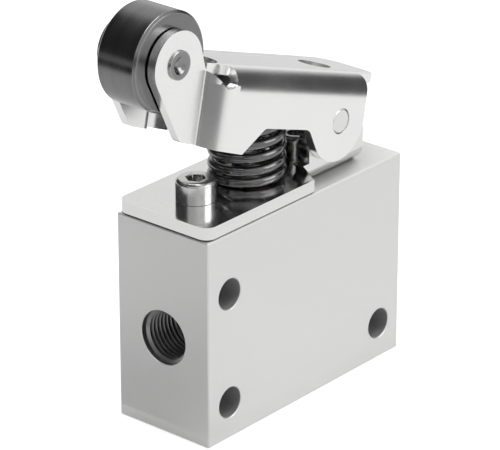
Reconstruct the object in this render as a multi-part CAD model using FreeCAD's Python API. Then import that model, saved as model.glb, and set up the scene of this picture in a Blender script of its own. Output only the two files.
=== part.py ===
"""One-way flow control valve worked by a roller lever, at real size in millimetres, +Z up.

The origin is the centre of the body's base. X runs along the body with the roller end at -X,
Y runs across it with the front face at -Y. The lever is drawn flat about its pivot, with U along
the lever and V up from it, and is then swung up to the angle at which it rests.
"""
import math
import os

import FreeCAD
import Part
from FreeCAD import Vector

# Valve body: a drilled bar
BODY_LENGTH = 51.0
BODY_DEPTH = 20.0
BODY_HEIGHT = 37.5
BODY_EDGE = 0.2
MOUNT_HOLE_RADIUS = 2.75
MOUNT_HOLE_EDGE = 0.15
MOUNT_SPACING_X = 40.0
MOUNT_SPACING_Z = 20.0
MOUNT_LOW_Z = 6.6
PORT_Z = 17.5
PORT_RADIUS = 4.864
PORT_MOUTH_RADIUS = 5.0
PORT_MOUTH_DEPTH = 0.4
PORT_DEPTH = 9.0
PASSAGE_RADIUS = 1.8
PASSAGE_OFFSET = 2.5

# Stem axis and the stepped bore that holds the valve pieces
STEM_X = -4.0
CHAMBER_FLOOR_Z = 8.0
CHAMBER_RADIUS = 5.9
SEAT_STEP_Z = 16.9
BORE_RADIUS = 6.5
FLANGE_POCKET_RADIUS = 7.0
FLANGE_POCKET_DEPTH = 2.5

# Clearances
FIXED_CLEARANCE = 0.05
RUNNING_CLEARANCE = 0.05
SEAL_CLEARANCE = 0.03
CONTACT_CLEARANCE = 0.1

# Plunger stem with its throttle cone
STEM_RADIUS = 2.5
CONE_LENGTH = 4.6
CONE_TIP_RADIUS = 1.1
CONE_TIP_ABOVE_STEP = -1.0
STEM_IN_CAP = 3.0

# Guide bush and its seals
BUSH_DEPTH = 10.3
BUSH_COLLAR_HEIGHT = 1.5
STEM_SEAL_SECTION = 0.75
STEM_SEAL_DEPTH = 5.5
BUSH_SEAL_SECTION = 0.55
BUSH_SEAL_DEPTH = 8.1
GROOVE_ROOM = 0.12

# Seat sleeve with its gasket
SLEEVE_INNER_RADIUS = 4.6
SLEEVE_FLOOR = 1.2
SLEEVE_SEAT_RADIUS = 3.6
GASKET_THICKNESS = 0.4
WINDOW_HEIGHT = 3.4
WINDOW_SILL = 0.3

# Check ring, its seal and its spring
CHECK_RADIUS = 5.0
CHECK_THICKNESS = 1.8
CHECK_ORIFICE_RADIUS = 2.6
CHECK_HUB_RADIUS = 3.3
CHECK_HUB_LENGTH = 2.0
CHECK_LUG_WIDTH = 2.2
CHECK_LUGS = 3
CHECK_SEAL_INNER = 3.9
CHECK_SEAL_OUTER = 4.6
CHECK_SEAL_DEPTH = 0.5
CHECK_SEAL_PROUD = 0.15
CHECK_TRAVEL = 2.5
CHECK_SPRING_WIRE = 0.55
CHECK_SPRING_MEAN_RADIUS = 4.0
CHECK_SPRING_TURNS = 4

# Stem clip
CLIP_RADIUS = 3.9
CLIP_THICKNESS = 0.7
CLIP_GROOVE_DEPTH = 0.5

# Bearing plate with its two bent-up ears
PLATE_THICKNESS = 2.5
PLATE_CORNER = 2.0
PLATE_EDGE = 0.35
PLATE_WING_X = 1.8
PLATE_SLIT_X = 4.8
PLATE_SLIT_Y = 4.4
PLATE_END_X = 18.2
EAR_BEND_RADIUS = 0.55
EAR_SIDE_CLEARANCE = 0.1
EAR_TOE_X = 2.1
EAR_TOE_BASE_X = 5.8
EAR_TOE_HEIGHT = 4.1
EAR_FRONT_X = 3.7
EAR_FRONT_HEIGHT = 7.1
EAR_REAR_HEIGHT = 6.6
EAR_EYE_RADIUS = 5.0
EAR_REAR_CORNER = 1.0

# Socket head screws that hold the plate
SCREW_OFFSET = 13.0
SCREW_RADIUS = 2.0
SCREW_LENGTH = 8.0
SCREW_HEAD_RADIUS = 3.4
SCREW_HEAD_HEIGHT = 3.8
SCREW_HEAD_EDGE = 0.45
SCREW_SOCKET_ACROSS_FLATS = 3.0
SCREW_SOCKET_DEPTH = 2.2
SCREW_HOLE_RADIUS = 2.15
SCREW_HOLE_SPARE = 0.7

# Lever stamped from one sheet
PIVOT_X = 10.0
PIVOT_ABOVE_BODY = 10.3
LEVER_REST_DEGREES = 18.5
LEVER_PRESS_DEGREES = 13.0
LEVER_HALF_WIDTH = 9.0
LEVER_SHEET = 1.6
LEVER_BEND_RADIUS = 1.0
WEB_TOP_V = 7.9
LOBE_CENTRE = (-0.4, -0.3)
LOBE_RADIUS = 6.8
LOBE_REAR_DEGREES = 8.0
LOBE_FRONT_DEGREES = 222.0
CUTOUT_V = -1.7
CUTOUT_REAR_RADIUS = 2.0
CUTOUT_FRONT_U = -20.2
CUTOUT_FRONT_RADIUS = 1.5
FLANGE_TIP = (-25.1, -6.2)
BOTTOM_SLOPE = 0.083
JOIN_U = -30.0
TONGUE_END_U = 12.4
TONGUE_SIDE_STEP = 2.6
TONGUE_CORNER = 4.2
WEB_TIP_U = -34.0
WEB_TIP_WIDTH = 0.3
WEB_NOTCH_U = -32.8
WEB_NOTCH_MARGIN = 0.2
WEB_HOLE_U = 1.3
WEB_HOLE_RADIUS = 2.85
RELIEF_U = -31.7
RELIEF_RADIUS = 2.2

# Fork arms that the flanges run into
JOGGLE_DEPTH = 2.75
JOGGLE_U = -34.65
JOGGLE_INSIDE_RADIUS = 0.35
JOGGLE_LEAN = -0.1
ARM_HEEL_U = -38.2
ARM_HEEL_RADIUS = 1.5
ARM_EYE_RADIUS = 5.65
ARM_SHOULDER = (-35.4, 6.9)

# Roller on its hollow axle
AXLE_U = -42.45
AXLE_V = 7.5
AXLE_RADIUS = 2.0
AXLE_HEAD_RADIUS = 2.45
AXLE_HEAD_HEIGHT = 0.35
AXLE_RECESS_RADIUS = 1.5
AXLE_RECESS_DEPTH = 1.2
ROLLER_RADIUS = 8.5
ROLLER_EDGE = 0.4
WASHER_RADIUS = 3.6
NEAR_WASHER_THICKNESS = 0.2
FAR_WASHER_THICKNESS = 0.7

# Pivot pin
PIN_RADIUS = 2.2
PIN_EDGE = 0.25
PIN_SET_IN = 0.05

# Spring cap and return spring
CAP_RIM_STEP = 0.2
CAP_DOME_RADIUS = 11.0
CAP_RIM = 1.3
CAP_HUB_LENGTH = 3.4
SPRING_WIRE = 1.65
SPRING_SIDE_GAP = 0.7
SPRING_GUIDE_GAP = 0.35
SPRING_TURNS = 7
SPRING_END_GAP = 0.02
COIL_POINTS = 8
CLOSED_TURN_PITCH = 1.03

# Worked out from the sizes above
PLATE_TOP_Z = BODY_HEIGHT + PLATE_THICKNESS
PIVOT_Z = BODY_HEIGHT + PIVOT_ABOVE_BODY
BUSH_BOTTOM_Z = BODY_HEIGHT - BUSH_DEPTH
STEM_SEAL_Z = BODY_HEIGHT - STEM_SEAL_DEPTH
BUSH_SEAL_Z = BODY_HEIGHT - BUSH_SEAL_DEPTH
SLEEVE_BOTTOM_Z = SEAT_STEP_Z + GASKET_THICKNESS
CHECK_TOP_Z = SLEEVE_BOTTOM_Z - FIXED_CLEARANCE - CHECK_SEAL_PROUD
CHECK_UNDERSIDE_Z = CHECK_TOP_Z - CHECK_THICKNESS
ARM_OUTER_Y = LEVER_HALF_WIDTH - JOGGLE_DEPTH
ARM_INNER_Y = ARM_OUTER_Y - LEVER_SHEET
ROLLER_NEAR_Y = NEAR_WASHER_THICKNESS + 2 * RUNNING_CLEARANCE - ARM_INNER_Y
ROLLER_FAR_Y = ARM_INNER_Y - FAR_WASHER_THICKNESS - 2 * RUNNING_CLEARANCE
WEB_NOTCH_RADIUS = ARM_INNER_Y + WEB_NOTCH_MARGIN
WEB_TIP_Y = WEB_NOTCH_RADIUS + WEB_TIP_WIDTH
TONGUE_HALF_WIDTH = LEVER_HALF_WIDTH - TONGUE_SIDE_STEP
SPRING_OUTER_RADIUS = LEVER_HALF_WIDTH - LEVER_SHEET - SPRING_SIDE_GAP
CAP_RADIUS = SPRING_OUTER_RADIUS - CAP_RIM_STEP
CAP_HUB_RADIUS = SPRING_OUTER_RADIUS - SPRING_WIRE - SPRING_GUIDE_GAP
BUSH_COLLAR_RADIUS = CAP_HUB_RADIUS
EAR_OUTER_Y = LEVER_HALF_WIDTH - LEVER_SHEET - EAR_SIDE_CLEARANCE
LEVER_OUTER_BEND = LEVER_BEND_RADIUS + LEVER_SHEET
BEND_V = WEB_TOP_V - LEVER_OUTER_BEND
WEB_FLAT_Y = LEVER_HALF_WIDTH - LEVER_OUTER_BEND
BEND_HALF_LENGTH = (LEVER_BEND_RADIUS + LEVER_SHEET / 2) * math.pi / 4
RELIEF_HALF_WIDTH = math.sqrt(RELIEF_RADIUS ** 2 - BEND_HALF_LENGTH ** 2)


def cap_top_z(lever_degrees):
    """Height of the cap's crown when the lever's web lies on the dome at this angle."""
    angle = math.radians(lever_degrees)
    underside = WEB_TOP_V - LEVER_SHEET - CONTACT_CLEARANCE
    reach = underside - CAP_DOME_RADIUS + (PIVOT_X - STEM_X) * math.sin(angle)
    return PIVOT_Z + reach / math.cos(angle) + CAP_DOME_RADIUS


CAP_TOP_Z = cap_top_z(LEVER_REST_DEGREES)
CAP_SAGITTA = CAP_DOME_RADIUS - math.sqrt(CAP_DOME_RADIUS ** 2 - CAP_RADIUS ** 2)
CAP_UNDERSIDE_Z = CAP_TOP_Z - CAP_SAGITTA - CAP_RIM
STEM_STROKE = CAP_TOP_Z - cap_top_z(LEVER_REST_DEGREES - LEVER_PRESS_DEGREES)


def block(x_low, x_high, y_low, y_high, z_low, z_high):
    """Box between two corners."""
    return Part.makeBox(x_high - x_low, y_high - y_low, z_high - z_low, Vector(x_low, y_low, z_low))


def rod_z(radius, z_low, z_high, x=0.0, y=0.0):
    """Upright cylinder."""
    return Part.makeCylinder(radius, z_high - z_low, Vector(x, y, z_low), Vector(0, 0, 1))


def rod_y(radius, y_low, y_high, x=0.0, z=0.0):
    """Cylinder across the part."""
    return Part.makeCylinder(radius, y_high - y_low, Vector(x, y_low, z), Vector(0, 1, 0))


def rod_x(radius, x_low, x_high, z, y=0.0):
    """Cylinder along the part."""
    return Part.makeCylinder(radius, x_high - x_low, Vector(x_low, y, z), Vector(1, 0, 0))


def upright(point):
    """Place an outline's point in the X-Z plane."""
    return Vector(point[0], 0, point[1])


def across(point):
    """Place an outline's point in the Y-Z plane."""
    return Vector(0, point[0], point[1])


def flat(point):
    """Place an outline's point in the X-Y plane."""
    return Vector(point[0], point[1], 0)


def outline(start, steps, place):
    """Face inside a closed outline. A step is a point, or a pair for an arc: a point passed and its end."""
    edges = []
    here = start
    for step in steps + [start]:
        if isinstance(step[0], tuple):
            edges.append(Part.Arc(place(here), place(step[0]), place(step[1])).toShape())
            here = step[1]
        else:
            if math.dist(here, step) > 1e-6:
                edges.append(Part.makeLine(place(here), place(step)))
            here = step
    return Part.Face(Part.Wire(edges))


def polar(centre, radius, degrees):
    """Point on a circle."""
    angle = math.radians(degrees)
    return (centre[0] + radius * math.cos(angle), centre[1] + radius * math.sin(angle))


def touch_point(centre, radius, point, side):
    """Place where a line from an outside point touches a circle, on the side given by the sign."""
    towards = math.degrees(math.atan2(point[1] - centre[1], point[0] - centre[0]))
    return polar(centre, radius, towards + side * math.degrees(math.acos(radius / math.dist(point, centre))))


def rounded(before, point, after, radius):
    """Steps that go to a corner and round it with an arc."""
    to_before = Vector(before[0] - point[0], before[1] - point[1], 0).normalize()
    to_after = Vector(after[0] - point[0], after[1] - point[1], 0).normalize()
    half = to_before.getAngle(to_after) / 2
    middle = (to_before + to_after).normalize()
    reach = radius / math.tan(half)
    sag = radius / math.sin(half) - radius
    start = (point[0] + to_before.x * reach, point[1] + to_before.y * reach)
    passed = (point[0] + middle.x * sag, point[1] + middle.y * sag)
    end = (point[0] + to_after.x * reach, point[1] + to_after.y * reach)
    return [start, (passed, end)]


def turned(start, steps, x=0.0):
    """Solid of revolution about an upright axis, from an outline of radius and height."""
    solid = outline(start, steps, upright).revolve(Vector(0, 0, 0), Vector(0, 0, 1), 360)
    solid.translate(Vector(x, 0, 0))
    return solid


def hexagon(across_flats, z_low, z_high):
    """Upright hexagonal prism."""
    radius = across_flats / math.sqrt(3)
    points = [polar((0.0, 0.0), radius, 60 * turn) for turn in range(6)]
    face = outline(points[0], points[1:], flat)
    face.translate(Vector(0, 0, z_low))
    return face.extrude(Vector(0, 0, z_high - z_low))


def coil(mean_radius, wire, turns, z_low, z_high, x):
    """Compression spring between two levels: a closed turn at each end, both ground flat."""
    closed_pitch = wire * CLOSED_TURN_PITCH
    open_pitch = (z_high - z_low - 2 * closed_pitch) / (turns - 2)
    points = []
    for step in range(turns * COIL_POINTS + 1):
        turn = step / COIL_POINTS
        open_turns = min(max(turn - 1, 0), turns - 2)
        spot = polar((x, 0.0), mean_radius, 360 * turn)
        height = z_low + open_turns * open_pitch + (turn - open_turns) * closed_pitch
        points.append(Vector(spot[0], spot[1], height))
    axis = Part.BSplineCurve()
    axis.interpolate(points)
    along = Vector(0, 2 * math.pi * mean_radius, closed_pitch)
    section = Part.Wire(Part.makeCircle(wire / 2, points[0], along))
    spring = Part.Wire(axis.toShape()).makePipeShell([section], True, False)
    return spring.common(rod_z(mean_radius + wire, z_low, z_high, x))


def on_lever(solid):
    """Swing a solid drawn on the flat lever up to rest, and set it on the pivot."""
    placed = solid.copy()
    placed.rotate(Vector(0, 0, 0), Vector(0, 1, 0), LEVER_REST_DEGREES)
    placed.translate(Vector(PIVOT_X, 0, PIVOT_Z))
    return placed


def along_y(solid, u=0.0, v=0.0):
    """Lay a turned solid across the lever, its lower end towards the front face."""
    laid = solid.copy()
    laid.rotate(Vector(0, 0, 0), Vector(1, 0, 0), -90)
    laid.translate(Vector(u, 0, v))
    return laid


def mount_holes():
    """Centres of the three fixing holes, in X and Z."""
    left, right = -MOUNT_SPACING_X / 2, MOUNT_SPACING_X / 2
    return [(left, MOUNT_LOW_Z), (right, MOUNT_LOW_Z), (left, MOUNT_LOW_Z + MOUNT_SPACING_Z)]


def screw_places():
    """X of the two plate screws, one each side of the stem."""
    return [STEM_X - SCREW_OFFSET, STEM_X + SCREW_OFFSET]


def valve_body():
    """Bar with two ports, three fixing holes, the stepped bore and its passages."""
    bar = block(-BODY_LENGTH / 2, BODY_LENGTH / 2, -BODY_DEPTH / 2, BODY_DEPTH / 2, 0, BODY_HEIGHT)
    bar = bar.makeChamfer(BODY_EDGE, bar.Edges)
    cuts = []
    for x, z in mount_holes():
        cuts.append(rod_y(MOUNT_HOLE_RADIUS, -BODY_DEPTH / 2, BODY_DEPTH / 2, x, z))
        for side in (-1, 1):
            mouth = Part.makeCone(
                MOUNT_HOLE_RADIUS + MOUNT_HOLE_EDGE, MOUNT_HOLE_RADIUS, MOUNT_HOLE_EDGE,
                Vector(x, side * BODY_DEPTH / 2, z), Vector(0, -side, 0))
            cuts.append(mouth)
    for side in (-1, 1):
        face_x = side * BODY_LENGTH / 2
        mouth = Part.makeCone(
            PORT_MOUTH_RADIUS + PORT_MOUTH_DEPTH, PORT_RADIUS, PORT_MOUTH_DEPTH + PORT_MOUTH_RADIUS - PORT_RADIUS,
            Vector(face_x + side * PORT_MOUTH_DEPTH, 0, PORT_Z), Vector(-side, 0, 0))
        bottom_x = face_x - side * PORT_DEPTH
        thread = rod_x(PORT_RADIUS, min(face_x, bottom_x), max(face_x, bottom_x), PORT_Z)
        passage = rod_x(PASSAGE_RADIUS, min(bottom_x, STEM_X), max(bottom_x, STEM_X), PORT_Z + side * PASSAGE_OFFSET)
        cuts += [mouth, thread, passage]
    cuts.append(rod_z(CHAMBER_RADIUS, CHAMBER_FLOOR_Z, BODY_HEIGHT, STEM_X))
    cuts.append(rod_z(BORE_RADIUS, SEAT_STEP_Z, BODY_HEIGHT, STEM_X))
    cuts.append(rod_z(FLANGE_POCKET_RADIUS, BODY_HEIGHT - FLANGE_POCKET_DEPTH, BODY_HEIGHT, STEM_X))
    screw_end = PLATE_TOP_Z - SCREW_LENGTH - SCREW_HOLE_SPARE
    for x in screw_places():
        cuts.append(rod_z(SCREW_RADIUS + FIXED_CLEARANCE, screw_end, BODY_HEIGHT, x))
    return bar.cut(cuts)


def ear_section(side):
    """Section across one ear: flat neck, bend and upright wall."""
    bend_outer = EAR_BEND_RADIUS + PLATE_THICKNESS
    centre = (side * (EAR_OUTER_Y - bend_outer), BODY_HEIGHT + bend_outer)
    turn = 90 - side * 45
    wall_top = PIVOT_Z + EAR_EYE_RADIUS + 1
    steps = [
        (centre[0], BODY_HEIGHT),
        (polar(centre, bend_outer, -turn), (side * EAR_OUTER_Y, centre[1])),
        (side * EAR_OUTER_Y, wall_top),
        (side * (EAR_OUTER_Y - PLATE_THICKNESS), wall_top),
        (side * (EAR_OUTER_Y - PLATE_THICKNESS), centre[1]),
        (polar(centre, EAR_BEND_RADIUS, -turn), (centre[0], PLATE_TOP_Z)),
        (0.0, PLATE_TOP_Z),
    ]
    return outline((0.0, BODY_HEIGHT), steps, across)


def ear_side_face():
    """Side view of an ear: slanted toe, front edge, eye round the pivot and rear corner."""
    pivot = (PIVOT_X, PIVOT_Z)
    front_low = (EAR_FRONT_X, BODY_HEIGHT + EAR_FRONT_HEIGHT)
    rear_low = (PLATE_END_X, BODY_HEIGHT + EAR_REAR_HEIGHT)
    front_touch = touch_point(pivot, EAR_EYE_RADIUS, front_low, -1)
    rear_touch = touch_point(pivot, EAR_EYE_RADIUS, rear_low, 1)
    crown = polar(pivot, EAR_EYE_RADIUS, 90)
    toe = (EAR_TOE_X, BODY_HEIGHT + EAR_TOE_HEIGHT)
    steps = [toe, (EAR_FRONT_X, BODY_HEIGHT + EAR_TOE_HEIGHT), front_low, front_touch, (crown, rear_touch)]
    steps += rounded(rear_touch, rear_low, (PLATE_END_X, BODY_HEIGHT), EAR_REAR_CORNER)
    steps.append((PLATE_END_X, BODY_HEIGHT))
    return outline((EAR_TOE_BASE_X, BODY_HEIGHT), steps, upright)


def bearing_plate():
    """Plate on top of the body, with the ears that carry the pivot pin bent up from it."""
    front = -BODY_LENGTH / 2
    half = BODY_DEPTH / 2
    near, far = (front, -half), (front, half)
    steps = rounded((PLATE_WING_X, far[1]), far, near, PLATE_CORNER)
    steps += rounded(far, near, (PLATE_WING_X, near[1]), PLATE_CORNER)
    steps += [(PLATE_WING_X, -half), (PLATE_SLIT_X, -PLATE_SLIT_Y), (PLATE_SLIT_X, PLATE_SLIT_Y)]
    sheet = outline((PLATE_WING_X, half), steps, flat)
    sheet.translate(Vector(0, 0, BODY_HEIGHT))
    plate = sheet.extrude(Vector(0, 0, PLATE_THICKNESS))
    lower_edges = []
    for edge in plate.Edges:
        box = edge.BoundBox
        if box.ZMax < BODY_HEIGHT + PLATE_EDGE and box.XMax < PLATE_SLIT_X:
            lower_edges.append(edge)
    plate = plate.makeChamfer(PLATE_EDGE, lower_edges)
    side_view = ear_side_face()
    side_view.translate(Vector(0, -half, 0))
    ear_solid = side_view.extrude(Vector(0, BODY_DEPTH, 0))
    neck_half = EAR_OUTER_Y - EAR_BEND_RADIUS - PLATE_THICKNESS
    neck = block(PLATE_SLIT_X - 1, PLATE_END_X, -neck_half, neck_half, BODY_HEIGHT, PLATE_TOP_Z)
    ears = []
    for side in (-1, 1):
        section = ear_section(side)
        ears.append(section.extrude(Vector(PLATE_END_X, 0, 0)).common(ear_solid))
    plate = plate.fuse([neck] + ears).removeSplitter()
    cuts = [rod_z(BUSH_COLLAR_RADIUS + FIXED_CLEARANCE, BODY_HEIGHT, PLATE_TOP_Z, STEM_X)]
    for x in screw_places():
        cuts.append(rod_z(SCREW_HOLE_RADIUS, BODY_HEIGHT, PLATE_TOP_Z, x))
    cuts.append(rod_y(PIN_RADIUS + RUNNING_CLEARANCE, -half, half, PIVOT_X, PIVOT_Z))
    return plate.cut(cuts)


def plate_screws():
    """The two socket head screws, their heads on the plate."""
    head_top = PLATE_TOP_Z + SCREW_HEAD_HEIGHT
    tip = PLATE_TOP_Z - SCREW_LENGTH
    screw = turned(
        (0.0, tip),
        [(SCREW_RADIUS - 0.4, tip), (SCREW_RADIUS, tip + 0.4), (SCREW_RADIUS, PLATE_TOP_Z),
         (SCREW_HEAD_RADIUS, PLATE_TOP_Z), (SCREW_HEAD_RADIUS, head_top - SCREW_HEAD_EDGE),
         (SCREW_HEAD_RADIUS - SCREW_HEAD_EDGE, head_top), (0.0, head_top)])
    screw = screw.cut(hexagon(SCREW_SOCKET_ACROSS_FLATS, head_top - SCREW_SOCKET_DEPTH, head_top))
    return Part.makeCompound([screw.translated(Vector(x, 0, 0)) for x in screw_places()])


def guide_bush():
    """Flanged bush that closes the bore and guides the stem."""
    bore = STEM_RADIUS + RUNNING_CLEARANCE
    outer = BORE_RADIUS - FIXED_CLEARANCE
    flange_z = BODY_HEIGHT - FLANGE_POCKET_DEPTH
    bush = turned(
        (bore, BUSH_BOTTOM_Z),
        [(outer, BUSH_BOTTOM_Z), (outer, flange_z), (FLANGE_POCKET_RADIUS - FIXED_CLEARANCE, flange_z),
         (FLANGE_POCKET_RADIUS - FIXED_CLEARANCE, BODY_HEIGHT), (BUSH_COLLAR_RADIUS, BODY_HEIGHT),
         (BUSH_COLLAR_RADIUS, PLATE_TOP_Z + BUSH_COLLAR_HEIGHT), (bore, PLATE_TOP_Z + BUSH_COLLAR_HEIGHT)],
        STEM_X)
    inner_half = STEM_SEAL_SECTION + GROOVE_ROOM
    inner_groove = rod_z(
        STEM_RADIUS + 2 * STEM_SEAL_SECTION + 2 * SEAL_CLEARANCE, STEM_SEAL_Z - inner_half,
        STEM_SEAL_Z + inner_half, STEM_X)
    outer_half = BUSH_SEAL_SECTION + GROOVE_ROOM
    groove_floor = BORE_RADIUS - 2 * BUSH_SEAL_SECTION - 2 * SEAL_CLEARANCE
    outer_groove = rod_z(BORE_RADIUS, BUSH_SEAL_Z - outer_half, BUSH_SEAL_Z + outer_half, STEM_X).cut(
        rod_z(groove_floor, BUSH_BOTTOM_Z, BODY_HEIGHT, STEM_X))
    return bush.cut([inner_groove, outer_groove])


def stem_seal():
    """O-ring between the stem and the bush."""
    mean = STEM_RADIUS + SEAL_CLEARANCE + STEM_SEAL_SECTION
    return Part.makeTorus(mean, STEM_SEAL_SECTION, Vector(STEM_X, 0, STEM_SEAL_Z))


def bush_seal():
    """O-ring between the bush and the body."""
    mean = BORE_RADIUS - SEAL_CLEARANCE - BUSH_SEAL_SECTION
    return Part.makeTorus(mean, BUSH_SEAL_SECTION, Vector(STEM_X, 0, BUSH_SEAL_Z))


def seat_sleeve():
    """Sleeve under the bush, with the check seat in its floor and four windows for the flow."""
    outer = BORE_RADIUS - FIXED_CLEARANCE
    floor_z = SLEEVE_BOTTOM_Z + SLEEVE_FLOOR
    sleeve = turned(
        (SLEEVE_SEAT_RADIUS, SLEEVE_BOTTOM_Z),
        [(outer, SLEEVE_BOTTOM_Z), (outer, BUSH_BOTTOM_Z), (SLEEVE_INNER_RADIUS, BUSH_BOTTOM_Z),
         (SLEEVE_INNER_RADIUS, floor_z), (SLEEVE_SEAT_RADIUS, floor_z)],
        STEM_X)
    window_z = floor_z + WINDOW_SILL + WINDOW_HEIGHT / 2
    half = WINDOW_HEIGHT / 2
    windows = [
        rod_x(half, STEM_X - BORE_RADIUS, STEM_X + BORE_RADIUS, window_z),
        rod_y(half, -BORE_RADIUS, BORE_RADIUS, STEM_X, window_z),
    ]
    return sleeve.cut(windows)


def sleeve_gasket():
    """Flat ring between the sleeve and the step in the bore."""
    outer = rod_z(BORE_RADIUS - FIXED_CLEARANCE, SEAT_STEP_Z, SLEEVE_BOTTOM_Z, STEM_X)
    return outer.cut(rod_z(CHAMBER_RADIUS + FIXED_CLEARANCE, SEAT_STEP_Z, SLEEVE_BOTTOM_Z, STEM_X))


def check_ring():
    """Sliding ring with the throttle's orifice, guided in the chamber by three lugs."""
    hub_z = CHECK_UNDERSIDE_Z - CHECK_HUB_LENGTH
    ring = turned(
        (CHECK_ORIFICE_RADIUS, hub_z),
        [(CHECK_HUB_RADIUS, hub_z), (CHECK_HUB_RADIUS, CHECK_UNDERSIDE_Z), (CHECK_RADIUS, CHECK_UNDERSIDE_Z),
         (CHECK_RADIUS, CHECK_TOP_Z), (CHECK_ORIFICE_RADIUS, CHECK_TOP_Z)],
        STEM_X)
    lug_bounds = rod_z(CHAMBER_RADIUS - RUNNING_CLEARANCE, CHECK_UNDERSIDE_Z, CHECK_TOP_Z, STEM_X)
    lugs = []
    for turn in range(CHECK_LUGS):
        lug = block(
            CHECK_RADIUS - 0.5, CHAMBER_RADIUS + 1, -CHECK_LUG_WIDTH / 2, CHECK_LUG_WIDTH / 2,
            CHECK_UNDERSIDE_Z, CHECK_TOP_Z)
        lug.rotate(Vector(0, 0, 0), Vector(0, 0, 1), 360 / CHECK_LUGS * turn)
        lug.translate(Vector(STEM_X, 0, 0))
        lugs.append(lug.common(lug_bounds))
    groove = rod_z(CHECK_SEAL_OUTER, CHECK_TOP_Z - CHECK_SEAL_DEPTH, CHECK_TOP_Z, STEM_X).cut(
        rod_z(CHECK_SEAL_INNER, CHECK_TOP_Z - CHECK_SEAL_DEPTH, CHECK_TOP_Z, STEM_X))
    return ring.fuse(lugs).removeSplitter().cut(groove)


def check_seal():
    """Rubber ring let into the check ring's face."""
    low = CHECK_TOP_Z - CHECK_SEAL_DEPTH
    high = CHECK_TOP_Z + CHECK_SEAL_PROUD
    ring = rod_z(CHECK_SEAL_OUTER - SEAL_CLEARANCE, low, high, STEM_X)
    return ring.cut(rod_z(CHECK_SEAL_INNER + SEAL_CLEARANCE, low, high, STEM_X))


def check_spring():
    """Light spring that holds the check ring against its seat."""
    return coil(
        CHECK_SPRING_MEAN_RADIUS, CHECK_SPRING_WIRE, CHECK_SPRING_TURNS, CHAMBER_FLOOR_Z + SPRING_END_GAP,
        CHECK_UNDERSIDE_Z - SPRING_END_GAP, STEM_X)


def plunger_stem():
    """Stem from the cap down through the bush, ending in the throttle cone."""
    tip_z = SEAT_STEP_Z + CONE_TIP_ABOVE_STEP
    top_z = CAP_UNDERSIDE_Z - CAP_HUB_LENGTH + STEM_IN_CAP
    stem = turned(
        (0.0, tip_z),
        [(CONE_TIP_RADIUS, tip_z), (STEM_RADIUS, tip_z + CONE_LENGTH), (STEM_RADIUS, top_z), (0.0, top_z)],
        STEM_X)
    clip_top = BUSH_BOTTOM_Z - CONTACT_CLEARANCE
    groove = rod_z(STEM_RADIUS + 1, clip_top - CLIP_THICKNESS, clip_top, STEM_X).cut(
        rod_z(STEM_RADIUS - CLIP_GROOVE_DEPTH, clip_top - CLIP_THICKNESS, clip_top, STEM_X))
    return stem.cut(groove)


def stem_clip():
    """Open ring in the stem's groove, which stops the stem under the bush."""
    high = BUSH_BOTTOM_Z - CONTACT_CLEARANCE - FIXED_CLEARANCE / 2
    low = BUSH_BOTTOM_Z - CONTACT_CLEARANCE - CLIP_THICKNESS + FIXED_CLEARANCE / 2
    inner = STEM_RADIUS - CLIP_GROOVE_DEPTH + FIXED_CLEARANCE
    ring = rod_z(CLIP_RADIUS, low, high, STEM_X).cut(rod_z(inner, low, high, STEM_X))
    mouth = block(STEM_X, STEM_X + CLIP_RADIUS + 1, -inner, inner, low, high)
    return ring.cut(mouth)


def spring_cap():
    """Domed cap on the stem: the web lies on its crown and the spring bears under its rim."""
    crown_centre = (0.0, CAP_TOP_Z - CAP_DOME_RADIUS)
    rim_degrees = math.degrees(math.acos(CAP_RADIUS / CAP_DOME_RADIUS))
    rim_top = polar(crown_centre, CAP_DOME_RADIUS, rim_degrees)
    passed = polar(crown_centre, CAP_DOME_RADIUS, (90 + rim_degrees) / 2)
    hub_z = CAP_UNDERSIDE_Z - CAP_HUB_LENGTH
    socket = STEM_RADIUS + FIXED_CLEARANCE
    socket_top = hub_z + STEM_IN_CAP + FIXED_CLEARANCE
    return turned(
        (0.0, socket_top),
        [(socket, socket_top), (socket, hub_z), (CAP_HUB_RADIUS, hub_z), (CAP_HUB_RADIUS, CAP_UNDERSIDE_Z),
         (CAP_RADIUS, CAP_UNDERSIDE_Z), rim_top, (passed, (0.0, CAP_TOP_Z))],
        STEM_X)


def return_spring():
    """Heavy spring between the plate and the cap."""
    return coil(
        SPRING_OUTER_RADIUS - SPRING_WIRE / 2, SPRING_WIRE, SPRING_TURNS, PLATE_TOP_Z + SPRING_END_GAP,
        CAP_UNDERSIDE_Z - SPRING_END_GAP, STEM_X)


def bottom_v(u):
    """Height of the flanges' and arms' lower edge at a place along the lever."""
    return FLANGE_TIP[1] + (FLANGE_TIP[0] - u) * BOTTOM_SLOPE


def channel_section():
    """Section across the lever: web, two bends and two flanges."""
    half = LEVER_HALF_WIDTH
    low_v = LOBE_CENTRE[1] - LOBE_RADIUS - 1
    right = (WEB_FLAT_Y, BEND_V)
    left = (-WEB_FLAT_Y, BEND_V)
    steps = [
        (-half, BEND_V),
        (polar(left, LEVER_OUTER_BEND, 135), (-WEB_FLAT_Y, WEB_TOP_V)),
        (WEB_FLAT_Y, WEB_TOP_V),
        (polar(right, LEVER_OUTER_BEND, 45), (half, BEND_V)),
        (half, low_v),
        (half - LEVER_SHEET, low_v),
        (half - LEVER_SHEET, BEND_V),
        (polar(right, LEVER_BEND_RADIUS, 45), (WEB_FLAT_Y, WEB_TOP_V - LEVER_SHEET)),
        (-WEB_FLAT_Y, WEB_TOP_V - LEVER_SHEET),
        (polar(left, LEVER_BEND_RADIUS, 135), (LEVER_SHEET - half, BEND_V)),
        (LEVER_SHEET - half, low_v),
    ]
    return outline((-half, low_v), steps, across)


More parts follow.
